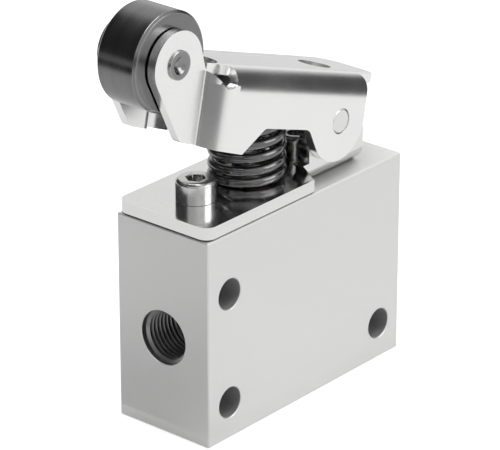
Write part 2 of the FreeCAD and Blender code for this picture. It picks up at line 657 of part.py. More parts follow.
def flange_side_face():
    """Side view of the flanges behind the fork: rear lobe, cut-out for the spring and front tip."""
    over_v = WEB_TOP_V + 1
    rear_touch = polar(LOBE_CENTRE, LOBE_RADIUS, LOBE_REAR_DEGREES)
    rear_lean = math.tan(math.radians(LOBE_REAR_DEGREES))
    rear_top = (rear_touch[0] - (over_v - rear_touch[1]) * rear_lean, over_v)
    passed = polar(LOBE_CENTRE, LOBE_RADIUS, (LOBE_REAR_DEGREES + LOBE_FRONT_DEGREES) / 2 + 180)
    front_touch = polar(LOBE_CENTRE, LOBE_RADIUS, LOBE_FRONT_DEGREES)
    front_lean = math.radians(LOBE_FRONT_DEGREES - 90)
    climb = (CUTOUT_V - front_touch[1]) / math.sin(front_lean)
    cutout_rear = (front_touch[0] + climb * math.cos(front_lean), CUTOUT_V)
    cutout_front = (CUTOUT_FRONT_U, CUTOUT_V)
    steps = [rear_top, rear_touch, (passed, front_touch)]
    steps += rounded(front_touch, cutout_rear, cutout_front, CUTOUT_REAR_RADIUS)
    steps += rounded(cutout_rear, cutout_front, FLANGE_TIP, CUTOUT_FRONT_RADIUS)
    steps += [FLANGE_TIP, (JOIN_U, bottom_v(JOIN_U))]
    return outline((JOIN_U, over_v), steps, upright)


def fork_plan_face(side):
    """Plan of one side in front: flange, joggle inwards and fork arm, one sheet thick."""
    outer_bend = LEVER_HALF_WIDTH - ARM_OUTER_Y - JOGGLE_INSIDE_RADIUS
    bend_centre = (JOGGLE_U + outer_bend, LEVER_HALF_WIDTH - outer_bend)
    hollow_centre = (JOGGLE_U - JOGGLE_INSIDE_RADIUS, bend_centre[1])
    rear_u = JOIN_U + LEVER_SHEET
    front_u = AXLE_U - ARM_EYE_RADIUS - 2
    inner_bend = outer_bend - LEVER_SHEET
    outer_hollow = JOGGLE_INSIDE_RADIUS + LEVER_SHEET
    steps = [
        (bend_centre[0], LEVER_HALF_WIDTH),
        (polar(bend_centre, outer_bend, 135), (JOGGLE_U, bend_centre[1])),
        (polar(hollow_centre, JOGGLE_INSIDE_RADIUS, -45), (hollow_centre[0], ARM_OUTER_Y)),
        (front_u, ARM_OUTER_Y),
        (front_u, ARM_INNER_Y),
        (hollow_centre[0], ARM_INNER_Y),
        (polar(hollow_centre, outer_hollow, -45), (hollow_centre[0] + outer_hollow, hollow_centre[1])),
        (polar(bend_centre, inner_bend, 135), (bend_centre[0], LEVER_HALF_WIDTH - LEVER_SHEET)),
        (rear_u, LEVER_HALF_WIDTH - LEVER_SHEET),
    ]
    face = outline((rear_u, LEVER_HALF_WIDTH), steps, flat)
    if side < 0:
        face = face.mirror(Vector(0, 0, 0), Vector(0, 1, 0))
    return face


def fork_side_face():
    """Side view of the fork: lower edge, straight back, eye round the axle and relief at the corner."""
    axle = (AXLE_U, AXLE_V)
    rear_u = JOIN_U + LEVER_SHEET
    rear_low = (rear_u, bottom_v(rear_u))
    heel = (ARM_HEEL_U, bottom_v(ARM_HEEL_U))
    eye_back = touch_point(axle, ARM_EYE_RADIUS, heel, -1)
    eye_front = touch_point(axle, ARM_EYE_RADIUS, ARM_SHOULDER, 1)
    eye_top = polar(axle, ARM_EYE_RADIUS, 90)
    relief_centre = (RELIEF_U, BEND_V + BEND_HALF_LENGTH)
    relief_front = touch_point(relief_centre, RELIEF_RADIUS, ARM_SHOULDER, 1)
    relief_low = polar(relief_centre, RELIEF_RADIUS, 270)
    steps = rounded(rear_low, heel, eye_back, ARM_HEEL_RADIUS)
    steps += [
        eye_back,
        (eye_top, eye_front),
        ARM_SHOULDER,
        relief_front,
        (relief_low, (RELIEF_U + RELIEF_HALF_WIDTH, BEND_V)),
        (rear_u, BEND_V),
    ]
    return outline(rear_low, steps, upright)


def relief_hole(side):
    """Round hole at the front end of one bend, as it lies once the sheet is bent round."""
    wide = LEVER_HALF_WIDTH + 1
    over_v = WEB_TOP_V + 1
    low_v = BEND_V - RELIEF_RADIUS
    middle_y = WEB_FLAT_Y + BEND_HALF_LENGTH
    front_u, rear_u = RELIEF_U - RELIEF_RADIUS, RELIEF_U + RELIEF_RADIUS
    in_web = rod_z(RELIEF_RADIUS, WEB_TOP_V - LEVER_SHEET - 1, over_v, RELIEF_U, middle_y).common(
        block(front_u, rear_u, 0, WEB_FLAT_Y, low_v, over_v))
    in_flange = rod_y(
        RELIEF_RADIUS, WEB_FLAT_Y, wide, RELIEF_U, BEND_V + BEND_HALF_LENGTH).common(
        block(front_u, rear_u, WEB_FLAT_Y, wide, low_v, BEND_V))
    in_bend = block(
        RELIEF_U - RELIEF_HALF_WIDTH, RELIEF_U + RELIEF_HALF_WIDTH, WEB_FLAT_Y, wide, BEND_V, over_v)
    hole = in_web.fuse([in_flange, in_bend])
    if side < 0:
        hole = hole.mirror(Vector(0, 0, 0), Vector(0, 1, 0))
    return hole


def lever_fork(side):
    """One side's joggle and fork arm, its bend leaning as it rises."""
    low_v = bottom_v(ARM_HEEL_U) - 4
    high_v = AXLE_V + ARM_EYE_RADIUS + 2
    sheet = fork_plan_face(side)
    sheet.translate(Vector(JOGGLE_LEAN * low_v, 0, low_v))
    wall = sheet.extrude(Vector(JOGGLE_LEAN * (high_v - low_v), 0, high_v - low_v))
    view = fork_side_face()
    view.translate(Vector(0, -LEVER_HALF_WIDTH - 1, 0))
    return wall.common(view.extrude(Vector(0, 2 * LEVER_HALF_WIDTH + 2, 0)))


def lever_web_ends():
    """The web's rounded rear tongue and its two front tips beside the roller."""
    low_v = WEB_TOP_V - LEVER_SHEET
    half = TONGUE_HALF_WIDTH
    near, far = (TONGUE_END_U, -half), (TONGUE_END_U, half)
    steps = rounded((0.0, -half), near, far, TONGUE_CORNER)
    steps += rounded(near, far, (0.0, half), TONGUE_CORNER)
    steps.append((0.0, half))
    tongue = outline((0.0, -half), steps, flat)
    overlap_u = JOIN_U + 1
    tips = outline(
        (overlap_u, -WEB_FLAT_Y),
        [(JOIN_U, -WEB_FLAT_Y), (WEB_TIP_U, -WEB_TIP_Y), (WEB_TIP_U, WEB_TIP_Y), (JOIN_U, WEB_FLAT_Y),
         (overlap_u, WEB_FLAT_Y)],
        flat)
    solids = []
    for face in (tongue, tips):
        face.translate(Vector(0, 0, low_v))
        solids.append(face.extrude(Vector(0, 0, LEVER_SHEET)))
    return solids


def roller_lever():
    """The lever, stamped and bent from one sheet."""
    section = channel_section()
    section.translate(Vector(JOIN_U, 0, 0))
    channel = section.extrude(Vector(TONGUE_END_U - JOIN_U, 0, 0))
    view = flange_side_face()
    view.translate(Vector(0, -LEVER_HALF_WIDTH - 1, 0))
    channel = channel.common(view.extrude(Vector(0, 2 * LEVER_HALF_WIDTH + 2, 0)))
    lever = channel.fuse(lever_web_ends())
    wide = LEVER_HALF_WIDTH + 1
    low_v = WEB_TOP_V - LEVER_SHEET - 1
    high_v = WEB_TOP_V + 1
    cuts = [
        rod_z(WEB_NOTCH_RADIUS, low_v, high_v, WEB_NOTCH_U),
        block(WEB_TIP_U - 1, WEB_NOTCH_U, -WEB_NOTCH_RADIUS, WEB_NOTCH_RADIUS, low_v, high_v),
        relief_hole(-1),
        relief_hole(1),
    ]
    lever = lever.cut(cuts).fuse([lever_fork(-1), lever_fork(1)]).removeSplitter()
    holes = [
        rod_z(WEB_HOLE_RADIUS, low_v, high_v, WEB_HOLE_U),
        rod_y(PIN_RADIUS + FIXED_CLEARANCE, -wide, wide),
        rod_y(AXLE_RADIUS + FIXED_CLEARANCE, -wide, wide, AXLE_U, AXLE_V),
    ]
    return on_lever(lever.cut(holes))


def pivot_pin():
    """Pin through the flanges and the plate's ears."""
    half = LEVER_HALF_WIDTH - PIN_SET_IN
    pin = turned(
        (0.0, -half),
        [(PIN_RADIUS - PIN_EDGE, -half), (PIN_RADIUS, PIN_EDGE - half), (PIN_RADIUS, half - PIN_EDGE),
         (PIN_RADIUS - PIN_EDGE, half), (0.0, half)])
    return on_lever(along_y(pin))


def roller_axle():
    """Axle riveted over at both arms, each end drilled to a cone."""
    half = ARM_OUTER_Y + AXLE_HEAD_HEIGHT
    steps = [
        (AXLE_RECESS_RADIUS, -half),
        (AXLE_HEAD_RADIUS, -half),
        (AXLE_HEAD_RADIUS, -ARM_OUTER_Y),
        (AXLE_RADIUS, -ARM_OUTER_Y),
        (AXLE_RADIUS, ARM_OUTER_Y),
        (AXLE_HEAD_RADIUS, ARM_OUTER_Y),
        (AXLE_HEAD_RADIUS, half),
        (AXLE_RECESS_RADIUS, half),
        (0.0, half - AXLE_RECESS_DEPTH),
    ]
    return on_lever(along_y(turned((0.0, AXLE_RECESS_DEPTH - half), steps), AXLE_U, AXLE_V))


def roller_washer(low_y, thickness):
    """Washer that fills the gap between the roller and one arm."""
    ring = rod_z(WASHER_RADIUS, low_y, low_y + thickness).cut(
        rod_z(AXLE_RADIUS + FIXED_CLEARANCE, low_y, low_y + thickness))
    return on_lever(along_y(ring, AXLE_U, AXLE_V))


def roller():
    """Roller with bevelled edges, free on its axle."""
    bore = AXLE_RADIUS + RUNNING_CLEARANCE
    rim = ROLLER_RADIUS - ROLLER_EDGE
    wheel = turned(
        (bore, ROLLER_NEAR_Y),
        [(rim, ROLLER_NEAR_Y), (ROLLER_RADIUS, ROLLER_NEAR_Y + ROLLER_EDGE),
         (ROLLER_RADIUS, ROLLER_FAR_Y - ROLLER_EDGE), (rim, ROLLER_FAR_Y), (bore, ROLLER_FAR_Y)])
    return on_lever(along_y(wheel, AXLE_U, AXLE_V))


def build_parts():
    """Every sub-part by its node name."""
    return {
        "valve_body": valve_body(),
        "bearing_plate": bearing_plate(),
        "plate_screws": plate_screws(),
        "guide_bush": guide_bush(),
        "stem_seal": stem_seal(),
        "bush_seal": bush_seal(),
        "seat_sleeve": seat_sleeve(),
        "sleeve_gasket": sleeve_gasket(),
        "check_ring": check_ring(),
        "check_seal": check_seal(),
        "check_spring": check_spring(),
        "plunger_stem": plunger_stem(),
        "stem_clip": stem_clip(),
        "spring_cap": spring_cap(),
        "return_spring": return_spring(),
        "roller_lever": roller_lever(),
        "pivot_pin": pivot_pin(),
        "roller_axle": roller_axle(),
        "near_roller_washer": roller_washer(RUNNING_CLEARANCE - ARM_INNER_Y, NEAR_WASHER_THICKNESS),
        "far_roller_washer": roller_washer(ROLLER_FAR_Y + RUNNING_CLEARANCE, FAR_WASHER_THICKNESS),
        "roller": roller(),
    }


def main():
    """Write one STEP file for each sub-part."""
    os.makedirs("parts", exist_ok=True)
    for node, shape in build_parts().items():
        shape.exportStep(f"parts/{node}.step")
        print(f"{node}: {len(shape.Solids)} solid, {shape.Volume:.1f} mm3, valid {shape.isValid()}")
    print(f"cap crown at {CAP_TOP_Z:.3f} mm, stem stroke {STEM_STROKE:.3f} mm")


if __name__ == "__main__":
    main()
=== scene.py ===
"""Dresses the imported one-way flow control valve with its real finishes and fine detail.

Each sub-assembly below is a class that refines or builds its own pieces, gives them a procedural
finish and fixes them to the body that they move with. The studio class lights the valve and sets
the camera.
"""

import logging
import math
from dataclasses import dataclass, replace
from enum import Enum
from typing import Mapping, Optional, Union

import bmesh
import bpy
from mathutils import Matrix, Vector


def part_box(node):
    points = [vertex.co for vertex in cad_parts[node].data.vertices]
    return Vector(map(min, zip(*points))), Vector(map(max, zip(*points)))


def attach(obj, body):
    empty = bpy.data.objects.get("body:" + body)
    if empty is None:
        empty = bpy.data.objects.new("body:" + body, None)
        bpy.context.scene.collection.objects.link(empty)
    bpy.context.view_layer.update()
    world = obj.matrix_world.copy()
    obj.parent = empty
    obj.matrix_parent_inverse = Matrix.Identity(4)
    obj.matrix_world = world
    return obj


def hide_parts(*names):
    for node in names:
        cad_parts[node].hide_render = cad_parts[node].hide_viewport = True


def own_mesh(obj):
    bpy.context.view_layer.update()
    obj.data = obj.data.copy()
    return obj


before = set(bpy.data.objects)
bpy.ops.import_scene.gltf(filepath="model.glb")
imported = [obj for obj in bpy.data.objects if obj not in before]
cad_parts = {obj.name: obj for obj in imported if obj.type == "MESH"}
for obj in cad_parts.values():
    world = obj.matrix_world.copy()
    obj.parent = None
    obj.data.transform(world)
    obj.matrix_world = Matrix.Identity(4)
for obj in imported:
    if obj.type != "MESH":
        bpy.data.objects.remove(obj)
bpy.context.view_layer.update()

LOG = logging.getLogger("valve")
MM = 0.001

Node = bpy.types.Node
Socket = bpy.types.NodeSocket
Triple = tuple[float, float, float]
Value = Union[Socket, float, tuple]


class Body(Enum):
    """Moving bodies of the valve, by the names in its record."""

    HOUSING = "housing"
    LEVER = "lever"
    WHEEL = "wheel"
    PLUNGER = "plunger"
    CHECK = "check"


class Pattern(Enum):
    """How a finish's fine texture lies on a piece."""

    SATIN = "satin"
    GROUND = "ground"
    TURNED_ACROSS = "turned about Y"
    TURNED_UPRIGHT = "turned about Z"


class Graph:
    """A node tree that is being built."""

    def __init__(self, owner: Union[bpy.types.Material, bpy.types.World]) -> None:
        """Start with an empty tree.

        Args:
            owner: Material or world that the tree belongs to.
        """
        owner.use_nodes = True
        self.tree = owner.node_tree
        self.tree.nodes.clear()

    def feed(self, node: Node, inputs: Mapping[Union[str, int], Value]) -> Node:
        """Link or set a node's inputs.

        Args:
            node: The node.
            inputs: Sockets to link and constants to set, by the input's name or place.

        Returns:
            The same node.
        """
        for place, value in inputs.items():
            if isinstance(value, Socket):
                self.tree.links.new(value, node.inputs[place])
            else:
                node.inputs[place].default_value = value
        return node

    def node(self, kind: str, inputs: Optional[Mapping[Union[str, int], Value]] = None) -> Node:
        """Add a node.

        Args:
            kind: Its type, without the words that all types share.
            inputs: Its inputs, as for feed.

        Returns:
            The node.
        """
        return self.feed(self.tree.nodes.new(f"ShaderNode{kind}"), inputs or {})

    def math(self, operation: str, first: Value, second: Value = 0.0, third: Value = 0.0) -> Socket:
        """One sum on numbers.

        Args:
            operation: Name of the sum.
            first: First number.
            second: Second number, where the sum has one.
            third: Third number, where the sum has one.

        Returns:
            The result's socket.
        """
        node = self.node("Math", {0: first, 1: second, 2: third})
        node.operation = operation
        return node.outputs["Value"]

    def vector(self, operation: str, first: Socket, second: Optional[Value] = None) -> Socket:
        """One sum on vectors.

        Args:
            operation: Name of the sum.
            first: First vector.
            second: Second vector, where the sum has one.

        Returns:
            The result's socket, a number's for a length or a dot product.
        """
        node = self.node("VectorMath", {0: first} if second is None else {0: first, 1: second})
        node.operation = operation
        return node.outputs["Value" if operation in ("DOT_PRODUCT", "LENGTH") else "Vector"]

    def stretch(self, direction: Triple, amount: Socket) -> Socket:
        """A fixed direction times a number.

        Args:
            direction: The direction.
            amount: The number.

        Returns:
            The vector's socket.
        """
        node = self.node("VectorMath")
        node.operation = "SCALE"
        return self.feed(node, {0: direction, "Scale": amount}).outputs["Vector"]

    def join(self, **parts: Socket) -> Socket:
        """Make a vector.

        Args:
            parts: Its parts by their axes, X, Y and Z, each 0 where it isn't given.

        Returns:
            The vector's socket.
        """
        return self.node("CombineXYZ", parts).outputs["Vector"]

    def part(self, axis: str, vector: Socket) -> Socket:
        """One part of a vector.

        Args:
            axis: X, Y or Z.
            vector: The vector.

        Returns:
            The part's socket.
        """
        return self.node("SeparateXYZ", {"Vector": vector}).outputs[axis]

    def remap(self, value: Socket, start: float, end: float, low: float = 0.0, high: float = 1.0) -> Socket:
        """Map one range to another and stop at its ends.

        Args:
            value: The number to map.
            start: Number that becomes low.
            end: Number that becomes high.
            low: Result at the start.
            high: Result at the end.

        Returns:
            The result's socket.
        """
        limits = {"From Min": start, "From Max": end, "To Min": low, "To Max": high}
        return self.node("MapRange", {"Value": value, **limits}).outputs["Result"]

    def mix(self, kind: str, share: Value, first: Value, second: Value) -> Socket:
        """Mix two numbers, vectors or colours.

        Args:
            kind: FLOAT, VECTOR or RGBA.
            share: Share of the second, from 0 to 1.
            first: The first.
            second: The second.

        Returns:
            The result's socket.
        """
        node = self.node("Mix")
        node.data_type = kind
        return self.feed(node, {"Factor": share, "A": first, "B": second}).outputs["Result"]

    def noise(self, vector: Socket, detail: float, roughness: float = 0.5) -> Socket:
        """Noise on scaled coordinates, about 0.5.

        Args:
            vector: The coordinates, scaled so that one unit is one grain.
            detail: How many finer layers it has.
            roughness: Weight of the finer layers.

        Returns:
            The noise's socket.
        """
        inputs = {"Vector": vector, "Scale": 1.0, "Detail": detail, "Roughness": roughness}
        return self.node("TexNoise", inputs).outputs["Fac"]

    def place(self) -> Socket:
        """Place on the piece, in metres."""
        return self.node("TexCoord").outputs["Object"]


@dataclass(frozen=True)
class PressBends:
    """Softly rounded bends of the pressed lever, carried by the direction in which it shines.

    Attributes:
        start: Point at mid height where a side starts to turn in, in metres.
        along: Direction in which the sides turn in.
        up: The lever's own upward direction.
        length: Length of the turn, in metres.
        turn: Angle that the side has turned at its end, in radians.
        core_y: Half distance between the top bends' axes, in metres.
        core_up: Height of the top bends' axes over the start, in metres.
        top: Height over the start below which the sides turn in, in metres.
        onset: Power by which the turn gathers from its start.
        least_sideways: Least share by which a side's surface faces sideways.
        least_outward: Least agreement of a top bend's surface with its rounded normal.
    """

    start: Triple
    along: Triple
    up: Triple
    length: float
    turn: float
    core_y: float
    core_up: float
    top: float
    onset: float = 1.3
    least_sideways: float = 0.3
    least_outward: float = 0.8

    def normal(self, graph: Graph) -> Socket:
        """Surface normal with both kinds of bend.

        Args:
            graph: The material's tree.

        Returns:
            The normal's socket.
        """
        offset = graph.vector("SUBTRACT", graph.place(), self.start)
        height = graph.vector("DOT_PRODUCT", offset, self.up)
        reach = graph.vector("DOT_PRODUCT", offset, self.along)
        surface = graph.node("NewGeometry")
        rounded = self._top_bend(graph, offset, height, reach, surface)
        return self._side_bend(graph, height, reach, surface, rounded)

    def _top_bend(self, graph: Graph, offset: Socket, height: Socket, reach: Socket, surface: Node) -> Socket:
        """Normal that points away from the axis of the bend between the web and a side.

        Args:
            graph: The material's tree.
            offset: Place from the start.
            height: Height over the start.
            reach: Distance from the start in the direction of the turn.
            surface: Geometry node.

        Returns:
            The normal's socket.
        """
        sideways = graph.part("Y", offset)
        beyond = graph.math("SUBTRACT", graph.math("ABSOLUTE", sideways), self.core_y)
        outward = graph.math("MULTIPLY", graph.math("MAXIMUM", beyond, 0.0), graph.math("SIGN", sideways))
        upward = graph.math("MAXIMUM", graph.math("SUBTRACT", height, self.core_up), 0.0)
        away = graph.vector("ADD", graph.join(Y=outward), graph.stretch(self.up, upward))
        bent = graph.vector("NORMALIZE", away)
        agreement = graph.vector("DOT_PRODUCT", bent, surface.outputs["True Normal"])
        outer = graph.math("GREATER_THAN", agreement, self.least_outward)
        outer = graph.math("MULTIPLY", outer, graph.math("LESS_THAN", reach, self.length))
        return graph.mix("VECTOR", outer, surface.outputs["Normal"], bent)

    def _side_bend(self, graph: Graph, height: Socket, reach: Socket, surface: Node, base: Socket) -> Socket:
        """Normal that turns steadily where a side turns in towards its fork arm.

        Args:
            graph: The material's tree.
            height: Height over the start.
            reach: Distance from the start in the direction of the turn.
            surface: Geometry node.
            base: Normal of the rest of the lever.

        Returns:
            The normal's socket.
        """
        sideways = graph.part("Y", surface.outputs["True Normal"])
        gathered = graph.math("POWER", graph.remap(reach, 0.0, self.length), self.onset)
        angle = graph.math("MULTIPLY", gathered, self.turn)
        across = graph.math("MULTIPLY", graph.math("COSINE", angle), graph.math("SIGN", sideways))
        forward = graph.stretch(self.along, graph.math("SINE", angle))
        bent = graph.vector("ADD", graph.join(Y=across), forward)
        inside = graph.math("GREATER_THAN", graph.math("ABSOLUTE", sideways), self.least_sideways)
        for limit in (
            graph.math("GREATER_THAN", reach, 0.0),
            graph.math("LESS_THAN", reach, self.length),
            graph.math("LESS_THAN", height, self.top),
        ):
            inside = graph.math("MULTIPLY", inside, limit)
        return graph.mix("VECTOR", inside, base, bent)


@dataclass(frozen=True)
class Scratches:
    """Sparse parallel scratches on a ground surface.

    Attributes:
        turn: Slant of the scratches, in radians.
        scale: Scale along X, Y and Z, per metre, low in the direction in which they run.
    """

    turn: float
    scale: Triple


# What all finishes share: levels, shares and depths from 0 to 1, scales per metre, widths in metres
COAT_ROUGHNESS = 0.08
FINE_DETAIL = 4.0
FINE_ROUGHNESS = 0.6
SLOW_SCALE = (160.0, 160.0, 160.0)
SLOW_DETAIL = 2.0
TINT_LEVELS = (0.3, 0.7)
SWEEP_LEVELS = (0.25, 0.75)
SWEEP_CLOUDING = 0.5
CROSSED_SCRATCHES = (Scratches(0.35, (250.0, 9000.0, 9000.0)), Scratches(-0.9, (9000.0, 300.0, 9000.0)))
SCRATCH_TILT = 0.4
SCRATCH_DETAIL = 1.0
SCRATCH_LEVELS = (0.66, 0.74)
SCRATCH_DEPTH = 0.6
# Bright corners, partly wear and partly painted highlight: mask levels, samples and patchiness
CORNER_LEVELS = (0.93, 0.6)
CORNER_SAMPLES = 8
PATCH_LEVELS = (0.2, 0.6)
PATCH_LEAST = 0.45
# Painted shadow line in the joint under a plate: its colour, cover, unevenness and soft edges
SHADOW_LINE_COLOUR = (0.02, 0.02, 0.018)
SHADOW_LINE_COVER = 0.9
SHADOW_LINE_UNEVEN = 0.4 * MM
SHADOW_LINE_EDGE = (0.3 * MM, 0.15 * MM)


@dataclass(frozen=True)
class Finish:
    """A procedural surface finish.

    Attributes:
        name: Material name.
        slot: Slot of the valve's record that the finish belongs to. It is not used.
        colour: Base colour, linear.
        shade: Darker tint that the fine texture mixes in, linear.
        metallic: Share of metal in the surface.
        roughness: Lowest and highest roughness that the texture sweeps.
        pattern: How the fine texture lies.
        grain: Texture scale along X, Y and Z, per metre.
        relief: Strength of the fine bump.
        depth: Distance of the fine bump, in metres.
        clouding: Share of the slow, large-scale variation.
        coat: Weight of a clear layer, such as oil on blackened wire.
        centre: Axis point of a turned piece, in metres.
        wear_and_highlight: How far the corners are brightened, partly as wear and partly as painted
            highlight, from 0 to 1.
        worn_highlight: Colour of the brightened corners, worn and painted highlight, linear.
        bright_corner_reach: Width of the brightened corners, in metres.
        shadow_line_height: Height below which a painted shadow line darkens the surface, in metres, or 0.
        bends: Soft bends of a pressed sheet, if any.
    """

    name: str
    slot: str
    colour: Triple
    shade: Triple
    metallic: float
    roughness: tuple[float, float]
    pattern: Pattern = Pattern.SATIN
    grain: Triple = (9000.0, 9000.0, 9000.0)
    relief: float = 0.08
    depth: float = 0.01 * MM
    clouding: float = 0.25
    coat: float = 0.0
    centre: Triple = (0.0, 0.0, 0.0)
    wear_and_highlight: float = 0.0
    worn_highlight: Triple = (0.85, 0.85, 0.84)
    bright_corner_reach: float = 0.25 * MM
    shadow_line_height: float = 0.0
    bends: Optional[PressBends] = None

    def material(self) -> bpy.types.Material:
        """Build the finish's node tree, once.

        Returns:
            The material.
        """
        made = bpy.data.materials.get(self.name)
        if made is not None:
            return made
        made = bpy.data.materials.new(self.name)
        graph = Graph(made)
        fine = self._fine_texture(graph)
        slow = graph.noise(self._mapped(graph, SLOW_SCALE), SLOW_DETAIL)
        bump = graph.node("Bump", {"Strength": self.relief, "Distance": self.depth, "Height": fine})
        if self.bends is not None:
            graph.feed(bump, {"Normal": self.bends.normal(graph)})
        shader = graph.node("BsdfPrincipled", {
            "Base Color": self._colour(graph, fine, slow),
            "Metallic": self.metallic,
            "Roughness": self._roughness(graph, fine, slow),
            "Normal": bump.outputs["Normal"],
            "Coat Weight": self.coat,
            "Coat Roughness": COAT_ROUGHNESS,
        })
        graph.node("OutputMaterial", {"Surface": shader.outputs["BSDF"]})
        return made

    def _mapped(self, graph: Graph, scale: Triple) -> Socket:
        """Object coordinates centred on the piece's axis and scaled.

        Args:
            graph: The material's tree.
            scale: Scale along X, Y and Z.

        Returns:
            The vector's socket.
        """
        away = tuple(-value for value in self.centre)
        centred = graph.node("Mapping", {"Vector": graph.place(), "Location": away})
        return graph.node("Mapping", {"Vector": centred.outputs["Vector"], "Scale": scale}).outputs["Vector"]

    def _fine_texture(self, graph: Graph) -> Socket:
        """Grain, grinding lines or turning rings, from 0 to 1.

        Args:
            graph: The material's tree.

        Returns:
            The texture's socket.
        """
        vector = self._mapped(graph, self.grain)
        if self.pattern in (Pattern.TURNED_ACROSS, Pattern.TURNED_UPRIGHT):
            vector = self._turning_lines(graph, vector)
        grain = graph.noise(vector, FINE_DETAIL, FINE_ROUGHNESS)
        return self._hairlines(graph, grain) if self.pattern is Pattern.GROUND else grain

    def _turning_lines(self, graph: Graph, vector: Socket) -> Socket:
        """Coordinates that run outwards from a turned piece's axis and along it.

        Args:
            graph: The material's tree.
            vector: Scaled coordinates about the axis.

        Returns:
            The vector's socket.
        """
        along, beside = ("Y", "Z") if self.pattern is Pattern.TURNED_ACROSS else ("Z", "Y")
        flat = graph.join(X=graph.part("X", vector), Y=graph.part(beside, vector))
        return graph.join(X=graph.vector("LENGTH", flat), Y=graph.part(along, vector))

    def _hairlines(self, graph: Graph, grain: Socket) -> Socket:
        """Add sparse crossing scratches to a ground surface.

        Args:
            graph: The material's tree.
            grain: The grinding grain.

        Returns:
            Grain and scratches together.
        """
        for lines in CROSSED_SCRATCHES:
            slant = (lines.turn, SCRATCH_TILT * lines.turn, lines.turn)
            inputs = {"Vector": graph.place(), "Rotation": slant, "Scale": lines.scale}
            noise = graph.noise(graph.node("Mapping", inputs).outputs["Vector"], SCRATCH_DETAIL)
            grain = graph.math("SUBTRACT", grain, graph.remap(noise, *SCRATCH_LEVELS, high=SCRATCH_DEPTH))
        return grain

    def _worn_and_highlit_corners(self, graph: Graph, fine: Socket) -> Socket:
        """Convex corners brightened, partly as wear and partly as painted highlight, from 0 to the finish's
        wear_and_highlight.

        Args:
            graph: The material's tree.
            fine: Fine texture, which breaks the bright line up.

        Returns:
            The mask's socket.
        """
        inner = graph.node("AmbientOcclusion", {"Distance": self.bright_corner_reach})
        inner.inside = True
        inner.only_local = True
        inner.samples = CORNER_SAMPLES
        corner = graph.remap(inner.outputs["AO"], *CORNER_LEVELS, high=self.wear_and_highlight)
        return graph.math("MULTIPLY", corner, graph.remap(fine, *PATCH_LEVELS, low=PATCH_LEAST))

    def _colour(self, graph: Graph, fine: Socket, slow: Socket) -> Socket:
        """Mix the base colour and its shade by both textures, then add the bright corners, which are partly
        wear and partly painted highlight, and the painted shadow line.

        Args:
            graph: The material's tree.
            fine: Fine texture.
            slow: Slow texture.

        Returns:
            The colour's socket.
        """
        ramp = graph.node("ValToRGB", {"Fac": graph.mix("FLOAT", self.clouding, fine, slow)})
        for stop, level, tint in zip(ramp.color_ramp.elements, TINT_LEVELS, (self.shade, self.colour)):
            stop.position = level
            stop.color = (*tint, 1.0)
        colour = ramp.outputs["Color"]
        # Bright corners: partly wear, partly painted highlight along the edges
        if self.wear_and_highlight > 0:
            colour = graph.mix("RGBA", self._worn_and_highlit_corners(graph, fine), colour, (*self.worn_highlight, 1.0))
        # Painted shadow where the plate meets the block
        if self.shadow_line_height > 0:
            colour = graph.mix("RGBA", self._painted_shadow_line(graph, slow), colour, (*SHADOW_LINE_COLOUR, 1.0))
        return colour

    def _painted_shadow_line(self, graph: Graph, slow: Socket) -> Socket:
        """Thin uneven painted shadow line in the joint under a plate.

        Args:
            graph: The material's tree.
            slow: Slow texture, which makes the line uneven.

        Returns:
            The mask's socket.
        """
        uneven = graph.math("MULTIPLY_ADD", slow, SHADOW_LINE_UNEVEN, graph.part("Z", graph.place()))
        shadow_free, full_shadow = (self.shadow_line_height + edge for edge in SHADOW_LINE_EDGE)
        return graph.remap(uneven, shadow_free, full_shadow, high=SHADOW_LINE_COVER)

    def _roughness(self, graph: Graph, fine: Socket, slow: Socket) -> Socket:
        """Sweep the roughness by both textures.

        Args:
            graph: The material's tree.
            fine: Fine texture.
            slow: Slow texture.

        Returns:
            The roughness's socket.
        """
        return graph.remap(graph.mix("FLOAT", SWEEP_CLOUDING, fine, slow), *SWEEP_LEVELS, *self.roughness)


def axis_point(node: str, across: str) -> Triple:
    """Where a turned piece's axis passes, from the frame.

    Args:
        node: The piece's node.
        across: Axes along which the point lies in the middle of the node's box. It is 0 along the others.

    Returns:
        The point, in metres.
    """
    low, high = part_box(node)
    return tuple((low[i] + high[i]) / 2 if axis in across else 0.0 for i, axis in enumerate("XYZ"))


AXLE_CENTRE = axis_point("roller", "XZ")
PIN_CENTRE = axis_point("pivot_pin", "XZ")
STEM_CENTRE = axis_point("plunger_stem", "X")
PLATE_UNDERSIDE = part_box("bearing_plate")[0][2]
# Height of the painted shadow line above the plate's underside
SHADOW_LINE_RISE = 0.2 * MM

LEVER_BENDS = PressBends(
    start=(-17.12 * MM, 0.0, 56.87 * MM), along=(-0.9752, 0.0, 0.2213), up=(0.3173, 0.0, 0.9483),
    length=6.0 * MM, turn=1.35, core_y=4.4 * MM, core_up=3.3 * MM, top=5.2 * MM)

SATIN_BODY = Finish(
    "satin_body", "anodised_body", (0.78, 0.78, 0.775), (0.75, 0.75, 0.745), metallic=0.5,
    roughness=(0.42, 0.5), grain=(2500.0, 2500.0, 14000.0), relief=0.05, wear_and_highlight=0.5, bright_corner_reach=0.3 * MM)
# Walls of the bores and ports: machined texture, with darker colours that are painted shade inside the holes
SHADED_BORED_WALL = Finish(
    "bored_wall_painted_shade", "anodised_body", (0.5, 0.5, 0.5), (0.36, 0.36, 0.36), metallic=0.3,
    roughness=(0.3, 0.42), grain=(900.0, 9000.0, 900.0), relief=0.1)
SHADED_TAPPED_WALL = Finish(
    "tapped_wall_painted_shade", "anodised_body", (0.37, 0.37, 0.37), (0.23, 0.23, 0.23), metallic=1.0,
    roughness=(0.28, 0.4), grain=(9000.0, 900.0, 900.0), relief=0.1)
